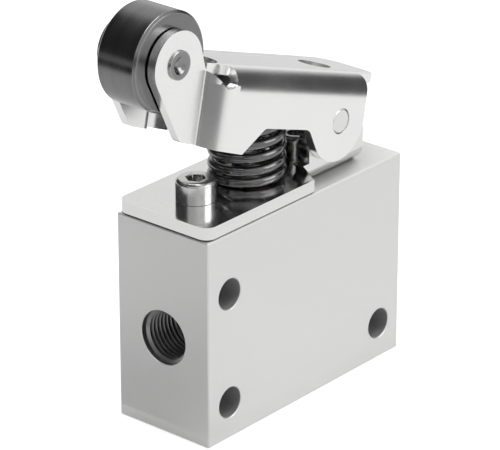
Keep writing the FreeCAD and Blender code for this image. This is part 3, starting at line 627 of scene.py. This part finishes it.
# The plate's foot is darkened by a painted shadow line where it meets the block
POLISHED_PLATE = Finish(
    "polished_plate", "bright_plate", (0.76, 0.76, 0.75), (0.68, 0.68, 0.68), metallic=1.0,
    roughness=(0.1, 0.17), pattern=Pattern.GROUND, grain=(900.0, 7000.0, 7000.0), relief=0.02,
    wear_and_highlight=0.5, shadow_line_height=PLATE_UNDERSIDE + SHADOW_LINE_RISE)
POLISHED_LEVER = Finish(
    "polished_lever", "lever_steel", (0.84, 0.84, 0.83), (0.78, 0.78, 0.78), metallic=1.0,
    roughness=(0.2, 0.28), pattern=Pattern.GROUND, grain=(900.0, 6000.0, 6000.0), relief=0.03,
    wear_and_highlight=0.5, bends=LEVER_BENDS)
ZINC_SCREW = Finish(
    "zinc_screw", "screw_steel", (0.64, 0.64, 0.63), (0.5, 0.5, 0.5), metallic=1.0,
    roughness=(0.16, 0.28), grain=(5000.0, 5000.0, 1500.0), relief=0.06, wear_and_highlight=0.6)
# Brass darkened and dulled: painted shade on the guide bush inside the spring, and the sleeve and check ring
# share it
BRASS_IN_PAINTED_SHADE = Finish(
    "turned_brass_painted_shade", "bush_brass", (0.4, 0.35, 0.27), (0.3, 0.26, 0.2), metallic=1.0,
    roughness=(0.2, 0.32), pattern=Pattern.TURNED_UPRIGHT, grain=(6000.0, 6000.0, 6000.0),
    relief=0.05, centre=STEM_CENTRE)
SLEEVE_BRASS_IN_PAINTED_SHADE = replace(BRASS_IN_PAINTED_SHADE, name="sleeve_brass_painted_shade", slot="sleeve_brass")
CHECK_BRASS_IN_PAINTED_SHADE = replace(BRASS_IN_PAINTED_SHADE, name="check_brass_painted_shade", slot="check_brass")
BLACK_WIRE = Finish(
    "black_wire", "spring_wire", (0.17, 0.17, 0.173), (0.09, 0.09, 0.092), metallic=0.9,
    roughness=(0.14, 0.26), grain=(2500.0, 2500.0, 2500.0), coat=0.5)
GROUND_STEM = Finish(
    "ground_stem", "stem_steel", (0.6, 0.6, 0.6), (0.5, 0.5, 0.5), metallic=1.0,
    roughness=(0.15, 0.25), pattern=Pattern.TURNED_UPRIGHT, grain=(6000.0, 6000.0, 6000.0),
    centre=STEM_CENTRE)
CAP_STEEL = Finish(
    "cap_steel", "cap_steel", (0.3, 0.3, 0.3), (0.22, 0.22, 0.22), metallic=1.0,
    roughness=(0.25, 0.35), pattern=Pattern.TURNED_UPRIGHT, grain=(6000.0, 6000.0, 6000.0),
    centre=STEM_CENTRE)
GROUND_PIN = Finish(
    "ground_pin", "pin_steel", (0.78, 0.78, 0.77), (0.66, 0.66, 0.66), metallic=1.0,
    roughness=(0.18, 0.3), pattern=Pattern.TURNED_ACROSS, grain=(7000.0, 3000.0, 7000.0),
    relief=0.05, centre=PIN_CENTRE)
TURNED_AXLE = Finish(
    "turned_axle", "axle_steel", (0.3, 0.3, 0.3), (0.17, 0.17, 0.17), metallic=1.0,
    roughness=(0.14, 0.24), pattern=Pattern.TURNED_ACROSS, grain=(7000.0, 4000.0, 7000.0),
    relief=0.07, centre=AXLE_CENTRE, wear_and_highlight=0.5)
# The roller's bright rim lines are painted highlight on its chamfer edges
DARK_ROLLER = Finish(
    "dark_roller", "roller_steel", (0.22, 0.22, 0.224), (0.16, 0.16, 0.163), metallic=1.0,
    roughness=(0.16, 0.28), pattern=Pattern.TURNED_ACROSS, grain=(5000.0, 3000.0, 5000.0),
    centre=AXLE_CENTRE, wear_and_highlight=1.0, worn_highlight=(0.85, 0.85, 0.85), bright_corner_reach=0.22 * MM)
PLAIN_WASHER = Finish(
    "plain_washer", "washer_steel", (0.5, 0.5, 0.5), (0.4, 0.4, 0.4), metallic=1.0,
    roughness=(0.25, 0.35), pattern=Pattern.TURNED_ACROSS, grain=(7000.0, 4000.0, 7000.0),
    centre=AXLE_CENTRE)
SEAL_RUBBER = Finish(
    "seal_rubber", "seal_rubber", (0.03, 0.03, 0.03), (0.02, 0.02, 0.02), metallic=0.0,
    roughness=(0.5, 0.65))
GASKET_FIBRE = Finish(
    "gasket_fibre", "gasket_fibre", (0.2, 0.12, 0.08), (0.14, 0.08, 0.05), metallic=0.0,
    roughness=(0.6, 0.8))
CLIP_STEEL = Finish(
    "clip_steel", "clip_steel", (0.1, 0.1, 0.1), (0.06, 0.06, 0.06), metallic=0.9,
    roughness=(0.3, 0.4))
FINE_WIRE = Finish(
    "fine_wire", "fine_spring_steel", (0.55, 0.55, 0.54), (0.45, 0.45, 0.45), metallic=1.0,
    roughness=(0.2, 0.3))

# How the solids' meshes are merged and shaded: a distance in metres and angles in degrees
MERGE_DISTANCE = 0.001 * MM
FLAT_ANGLE = 1.0
SHARP_ANGLE = 32.0
EDGE_SEGMENTS = 2


def show(piece: bpy.types.Object, finish: Finish, body: Body) -> bpy.types.Object:
    """Give a finished piece its material and body.

    Args:
        piece: The piece, its place in its mesh.
        finish: Its finish.
        body: The body that it moves with.

    Returns:
        The same piece.
    """
    piece.data.materials.clear()
    piece.data.materials.append(finish.material())
    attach(piece, body.value)
    LOG.info("%s: %d faces on %s", piece.name, len(piece.data.polygons), body.value)
    return piece


def link(mesh_edit: bmesh.types.BMesh, name: str) -> bpy.types.Object:
    """Turn an edited mesh into an object in the scene.

    Args:
        mesh_edit: The mesh, which is freed.
        name: Name of the piece.

    Returns:
        The new object at the origin.
    """
    mesh = bpy.data.meshes.new(name)
    mesh_edit.to_mesh(mesh)
    mesh_edit.free()
    piece = bpy.data.objects.new(name, mesh)
    bpy.context.scene.collection.objects.link(piece)
    return piece


def smooth(piece: bpy.types.Object, degrees: float = SHARP_ANGLE) -> None:
    """Shade a piece smooth, with its corners kept sharp.

    Args:
        piece: The piece.
        degrees: Angle above which an edge stays sharp.
    """
    piece.data.shade_smooth()
    piece.data.set_sharp_from_angle(angle=math.radians(degrees))


def refine(node: str, finish: Finish, body: Body, edge: float = 0.0) -> bpy.types.Object:
    """Replace a solid's node with a merged copy whose sharp corners are broken.

    Args:
        node: The node that is replaced.
        finish: Finish of the new piece.
        body: Body that it moves with.
        edge: Width of the broken edge, in metres, or 0 for corners left as they are.

    Returns:
        The new piece.
    """
    work = bmesh.new()
    work.from_mesh(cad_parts[node].data)
    bmesh.ops.remove_doubles(work, verts=work.verts, dist=MERGE_DISTANCE)
    bmesh.ops.dissolve_degenerate(work, edges=work.edges, dist=MERGE_DISTANCE)
    bmesh.ops.dissolve_limit(
        work, angle_limit=math.radians(FLAT_ANGLE), verts=work.verts, edges=work.edges,
        use_dissolve_boundaries=False)
    piece = link(work, f"{node}_dressed")
    if edge > 0:
        breaker = piece.modifiers.new("edge_break", "BEVEL")
        breaker.width = edge
        breaker.segments = EDGE_SEGMENTS
        breaker.limit_method = "ANGLE"
        breaker.angle_limit = math.radians(SHARP_ANGLE)
        breaker.harden_normals = False
        breaker.use_clamp_overlap = True
    smooth(piece)
    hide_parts(node)
    return show(piece, finish, body)


@dataclass
class Housing:
    """The drilled block, its plate and screws, and what is fixed in its bore."""

    body_edge: float = 0.12 * MM
    plate_edge: float = 0.18 * MM
    screw_edge: float = 0.12 * MM
    bush_edge: float = 0.08 * MM
    sleeve_edge: float = 0.05 * MM
    mouth_depth: float = 0.9 * MM
    port_z: float = 17.5 * MM
    port_reach: float = 5.6 * MM
    thread_major: float = 4.9 * MM
    thread_minor: float = 4.283 * MM
    thread_pitch: float = 0.907 * MM
    thread_turns: int = 8
    thread_start: float = 0.45 * MM
    root_share: float = 0.46
    crest_share: float = 0.1
    thread_corner: float = 25.0
    steps_per_turn: int = 40

    def build(self) -> None:
        """Dress every fixed piece."""
        self.paint_shade_in_bores(refine("valve_body", SATIN_BODY, Body.HOUSING, self.body_edge))
        self.port_thread("left_port_thread", -1.0)
        self.port_thread("right_port_thread", 1.0)
        refine("bearing_plate", POLISHED_PLATE, Body.HOUSING, self.plate_edge)
        refine("plate_screws", ZINC_SCREW, Body.HOUSING, self.screw_edge)
        refine("guide_bush", BRASS_IN_PAINTED_SHADE, Body.HOUSING, self.bush_edge)
        refine("seat_sleeve", SLEEVE_BRASS_IN_PAINTED_SHADE, Body.HOUSING, self.sleeve_edge)
        refine("stem_seal", SEAL_RUBBER, Body.HOUSING)
        refine("bush_seal", SEAL_RUBBER, Body.HOUSING)
        refine("sleeve_gasket", GASKET_FIBRE, Body.HOUSING)

    def paint_shade_in_bores(self, block: bpy.types.Object) -> None:
        """Give the walls of the block's holes a machined texture in darker colours, which are painted shade
        deep in the holes.

        Args:
            block: The dressed block.
        """
        low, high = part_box("valve_body")
        bored, tapped = 1, 2
        for wall in (SHADED_BORED_WALL, SHADED_TAPPED_WALL):
            block.data.materials.append(wall.material())
        for face in block.data.polygons:
            middle = face.center
            # Faces near the outside keep the body's colour, and deeper faces get the painted shade
            if min(min(middle[i] - low[i], high[i] - middle[i]) for i in range(3)) < self.mouth_depth:
                continue
            from_port_axis = math.hypot(middle.y, middle.z - self.port_z)
            face.material_index = tapped if from_port_axis < self.port_reach else bored

    def port_thread(self, name: str, side: float) -> bpy.types.Object:
        """Internal pipe thread: one ridge wound along the port's wall.

        Args:
            name: Name of the piece.
            side: -1 for the roller end's port, 1 for the other.

        Returns:
            The ridge.
        """
        work = bmesh.new()
        half_root = self.root_share * self.thread_pitch
        half_crest = self.crest_share * self.thread_pitch
        profile = [
            (half_root, self.thread_major),
            (half_crest, self.thread_minor),
            (-half_crest, self.thread_minor),
            (-half_root, self.thread_major),
        ]
        ring = [work.verts.new((along, 0.0, radius)) for along, radius in profile]
        edges = [work.edges.new((ring[i - 1], ring[i])) for i in range(len(ring))]
        work.faces.new(ring)
        wound = bmesh.ops.spin(
            work, geom=ring + edges, cent=(0, 0, 0), axis=(1, 0, 0),
            dvec=(self.thread_pitch / self.steps_per_turn, 0, 0),
            angle=2 * math.pi * self.thread_turns, steps=self.thread_turns * self.steps_per_turn,
            use_duplicate=False)
        last = [item for item in wound["geom_last"] if isinstance(item, bmesh.types.BMVert)]
        bmesh.ops.contextual_create(work, geom=last)
        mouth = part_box("valve_body")[1][0]
        bmesh.ops.translate(work, verts=work.verts, vec=(self.thread_start + half_root - mouth, 0, 0))
        if side > 0:
            about = Matrix.Rotation(math.pi, 3, "Z")
            bmesh.ops.rotate(work, verts=work.verts, cent=(0, 0, 0), matrix=about)
        bmesh.ops.translate(work, verts=work.verts, vec=(0, 0, self.port_z))
        bmesh.ops.recalc_face_normals(work, faces=work.faces)
        piece = link(work, name)
        smooth(piece, self.thread_corner)
        # The ridge takes the tapped wall's darker colour, which is painted shade inside the port
        return show(piece, SHADED_TAPPED_WALL, Body.HOUSING)


@dataclass
class RollerLever:
    """The stamped lever with its pin, axle, washers and roller."""

    lever_edge: float = 0.15 * MM
    axle_edge: float = 0.06 * MM
    roller_edge: float = 0.04 * MM

    def build(self) -> None:
        """Dress every piece that swings with the lever."""
        refine("roller_lever", POLISHED_LEVER, Body.LEVER, self.lever_edge)
        refine("pivot_pin", GROUND_PIN, Body.LEVER)
        refine("roller_axle", TURNED_AXLE, Body.LEVER, self.axle_edge)
        refine("near_roller_washer", PLAIN_WASHER, Body.LEVER)
        refine("far_roller_washer", PLAIN_WASHER, Body.LEVER)
        refine("roller", DARK_ROLLER, Body.WHEEL, self.roller_edge)


@dataclass
class Plunger:
    """The stem and cap with their springs, and the check ring under them."""

    cap_edge: float = 0.1 * MM
    return_foot: float = 40.0 * MM
    return_height: float = 15.0 * MM
    return_stroke: float = 3.1 * MM
    check_foot: float = 8.0 * MM
    check_height: float = 7.3 * MM
    check_stroke: float = 2.5 * MM

    def build(self) -> None:
        """Dress every piece that slides, and the springs."""
        refine("plunger_stem", GROUND_STEM, Body.PLUNGER)
        refine("stem_clip", CLIP_STEEL, Body.PLUNGER)
        refine("spring_cap", CAP_STEEL, Body.PLUNGER, self.cap_edge)
        refine("check_ring", CHECK_BRASS_IN_PAINTED_SHADE, Body.CHECK)
        refine("check_seal", SEAL_RUBBER, Body.CHECK)
        check_spring = refine("check_spring", FINE_WIRE, Body.HOUSING)
        self.press(check_spring)
        return_spring = refine("return_spring", BLACK_WIRE, Body.HOUSING)
        self.press(return_spring)

    def press(self, spring: bpy.types.Object) -> None:
        """Give a spring its own copy of its mesh.

        Args:
            spring: The spring.
        """
        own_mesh(spring)


@dataclass(frozen=True)
class Lamp:
    """Square soft box that faces the valve.

    Attributes:
        name: Its name.
        place: Where it hangs, in metres.
        side: Its width and height, in metres.
        power: Its power, in watts.
    """

    name: str
    place: Triple
    side: float
    power: float


@dataclass(frozen=True)
class Card:
    """Dark card with a soft edge, hung out of view for the polished metal to mirror.

    Attributes:
        name: Its name.
        place: Its middle, in metres.
        size: Its width and height, in metres.
        tone: How bright it looks, from 0 to 1.
        soft: Share of it over which its edge fades.
        lies: Whether it lies on the floor. Otherwise it stands and faces the valve.
    """

    name: str
    place: Triple
    size: tuple[float, float]
    tone: float
    soft: float
    lies: bool = False


KEY_LAMP = Lamp("key", (0.35, -0.8, 0.55), 0.6, 2.9)
TOP_LAMP = Lamp("top", (0.0, 0.0, 1.0), 0.8, 8.0)
# The card on the floor to the left is a painted shadow of the valve, seen only in the metal
LEFT_SHADOW_CARD = Card("left_shadow_card", (-0.045, 0.01, 0.002), (0.07, 0.07), 0.4, 0.8, lies=True)
FRONT_CARD = Card("front_card", (-0.432, -0.116, 0.102), (1.07, 0.275), 0.2, 0.5)
RIGHT_CARD = Card("right_card", (0.468, -0.152, 0.142), (0.68, 0.46), 0.02, 0.5)
REAR_CARD = Card("rear_card", (-0.203, 0.382, 0.305), (1.5, 0.7), 0.06, 0.3)
FAR_FLOOR_CARD = Card("far_floor_card", (-0.36, 0.24, 0.002), (0.5, 0.5), 0.06, 0.3, lies=True)


@dataclass
class Studio:
    """Floor, lights, cards and camera, with lengths in metres and angles in degrees."""

    azimuth: float = -49.61
    elevation: float = 24.01
    distance: float = 0.54903
    shift_right: float = -0.002047
    shift_up: float = 0.026888
    lens: float = 226.5
    sensor: float = 36.0
    nearest: float = 0.01
    farthest: float = 20.0
    lamp_aim: Triple = (-0.003, 0.0, 0.035)
    card_aim: Triple = (0.0, 0.0, 0.055)
    world_strength: float = 0.13
    mirror_strength: float = 0.92
    floor_half: float = 2.5
    floor_tone: float = 0.9
    floor_glow: float = 0.5
    far_glow: float = 1.0
    glow_start: float = 0.15
    glow_end: float = 0.8
    mirror_glow: float = 0.13

    def build(self) -> None:
        """Set up the whole studio."""
        self.world()
        self.floor()
        for lamp in (KEY_LAMP, TOP_LAMP):
            self.lamp(lamp)
        for card in (LEFT_SHADOW_CARD, FRONT_CARD, RIGHT_CARD, REAR_CARD, FAR_FLOOR_CARD):
            self.card(card)
        self.camera()

    def world(self) -> None:
        """Even white surroundings, which eyes and polished metal see brighter than they light."""
        world = bpy.data.worlds.new("studio")
        bpy.context.scene.world = world
        graph = Graph(world)
        path = graph.node("LightPath").outputs
        strength = graph.mix("FLOAT", path["Is Glossy Ray"], self.world_strength, self.mirror_strength)
        seen = graph.math("MAXIMUM", path["Is Camera Ray"], strength)
        white = graph.node("Background", {"Color": (1.0, 1.0, 1.0, 1.0), "Strength": seen})
        graph.node("OutputWorld", {"Surface": white.outputs["Background"]})

    def floor(self) -> None:
        """Wide pale floor with the valve's shadow, lifted to white for eyes and a little for metal."""
        work = bmesh.new()
        bmesh.ops.create_grid(work, x_segments=1, y_segments=1, size=self.floor_half)
        floor = link(work, "studio_floor")
        paint = bpy.data.materials.new("floor_white")
        graph = Graph(paint)
        tone = self.floor_tone
        matt = graph.node("BsdfDiffuse", {"Color": (tone, tone, tone, 1.0)})
        away = graph.vector("LENGTH", graph.place())
        glow = graph.remap(away, self.glow_start, self.glow_end, self.floor_glow, self.far_glow)
        path = graph.node("LightPath").outputs
        to_eye = graph.math("MULTIPLY", path["Is Camera Ray"], glow)
        lift = graph.math("MULTIPLY_ADD", path["Is Glossy Ray"], self.mirror_glow, to_eye)
        light = graph.node("Emission", {"Strength": lift})
        both = graph.node("AddShader", {0: matt.outputs["BSDF"], 1: light.outputs["Emission"]})
        graph.node("OutputMaterial", {"Surface": both.outputs["Shader"]})
        floor.data.materials.append(paint)

    def lamp(self, lamp: Lamp) -> None:
        """Hang a lamp.

        Args:
            lamp: The lamp.
        """
        data = bpy.data.lights.new(lamp.name, "AREA")
        data.shape = "RECTANGLE"
        data.size = data.size_y = lamp.side
        data.energy = lamp.power
        hung = bpy.data.objects.new(lamp.name, data)
        hung.location = lamp.place
        hung.rotation_euler = (Vector(self.lamp_aim) - Vector(lamp.place)).to_track_quat("-Z", "Y").to_euler()
        bpy.context.scene.collection.objects.link(hung)

    def card(self, card: Card) -> None:
        """Hang a card.

        Args:
            card: The card.
        """
        work = bmesh.new()
        bmesh.ops.create_grid(work, x_segments=1, y_segments=1, size=1.0)
        hung = link(work, card.name)
        place = Vector(card.place)
        faces = Vector((0, 0, 1)) if card.lies else Vector(self.card_aim) - place
        turned = faces.to_track_quat("Z", "Y").to_matrix().to_4x4()
        sized = Matrix.Diagonal((card.size[0] / 2, card.size[1] / 2, 1.0, 1.0))
        hung.matrix_world = Matrix.Translation(place) @ turned @ sized
        hung.visible_camera = False
        hung.visible_diffuse = False
        hung.visible_shadow = False
        paint = bpy.data.materials.new(card.name)
        graph = Graph(paint)
        fade = graph.node("TexGradient", {"Vector": graph.place()})
        fade.gradient_type = "SPHERICAL"
        dark = graph.node("Emission", {"Strength": card.tone})
        mix = graph.node("MixShader", {
            "Fac": graph.remap(fade.outputs["Fac"], 0.0, card.soft),
            1: graph.node("BsdfTransparent").outputs["BSDF"],
            2: dark.outputs["Emission"],
        })
        graph.node("OutputMaterial", {"Surface": mix.outputs["Shader"]})
        hung.data.materials.append(paint)

    def camera(self) -> None:
        """Camera at the photograph's angle, solved from the block's edges."""
        data = bpy.data.cameras.new("camera")
        data.sensor_width = self.sensor
        data.lens = self.lens
        data.clip_start = self.nearest
        data.clip_end = self.farthest
        camera = bpy.data.objects.new("camera", data)
        turn, rise = math.radians(self.azimuth), math.radians(self.elevation)
        back = Vector((math.sin(turn) * math.cos(rise), -math.cos(turn) * math.cos(rise), math.sin(rise)))
        right = Vector((math.cos(turn), math.sin(turn), 0.0))
        up = back.cross(right)
        place = back * self.distance + right * self.shift_right + up * self.shift_up
        camera.matrix_world = Matrix.Translation(place) @ Matrix((right, up, back)).transposed().to_4x4()
        bpy.context.scene.collection.objects.link(camera)
        bpy.context.scene.camera = camera


def main() -> None:
    """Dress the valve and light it."""
    logging.basicConfig(level=logging.INFO, format="%(name)s: %(message)s")
    for assembly in (Housing(), RollerLever(), Plunger(), Studio()):
        assembly.build()
        LOG.info("%s done", type(assembly).__name__)
    bpy.context.scene.view_settings.view_transform = "Standard"
    bpy.context.view_layer.update()


if __name__ == "__main__":
    main()
